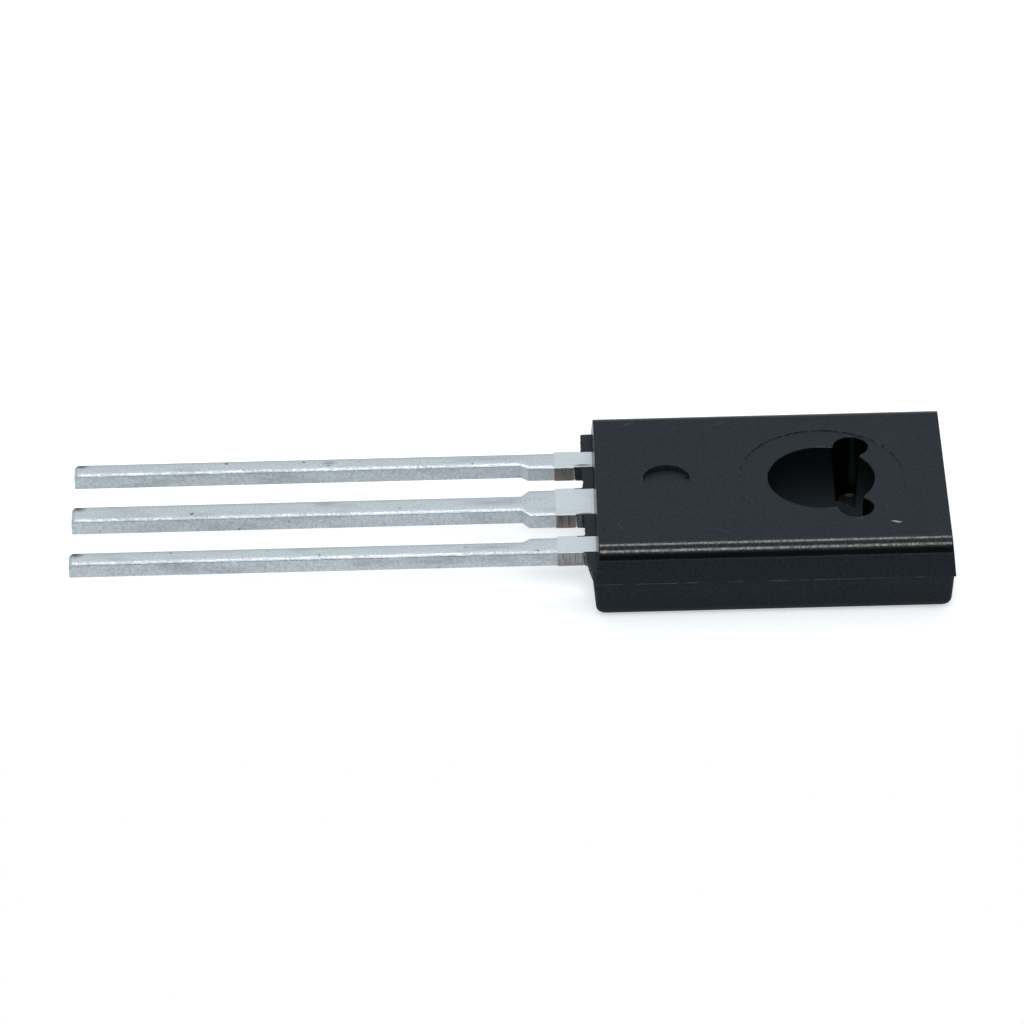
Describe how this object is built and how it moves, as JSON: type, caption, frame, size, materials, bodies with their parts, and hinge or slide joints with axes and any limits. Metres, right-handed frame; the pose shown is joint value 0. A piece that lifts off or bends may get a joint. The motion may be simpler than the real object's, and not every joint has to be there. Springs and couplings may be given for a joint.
{
  "type": "thyristor",
  "caption": "Flat black epoxy case with an eared screw hole, a bare metal heat-sink tab on its back and straight tinned leads; switches current when its gate is fired.",
  "frame": {"origin": "where the axis of the screw hole meets the mounting plane, which is the back of the tab", "axes": "+X towards the screw end and away from the leads, +Y towards the cathode lead, +Z out of the front face"},
  "size_m": [0.027, 0.0076, 0.0025],
  "materials": {
    "epoxy": "satin",
    "tinned_strip": "satin",
    "silicon": "gloss",
    "solder": "satin",
    "bond_wire": "satin"
  },
  "bodies": {
    "root": {"moulded_case": "epoxy", "anode_frame": "tinned_strip", "cathode_lead": "tinned_strip", "gate_lead": "tinned_strip", "silicon_die": "silicon", "die_solder": "solder", "cathode_wire": "bond_wire", "gate_wire": "bond_wire"}
  },
  "joints": []
}
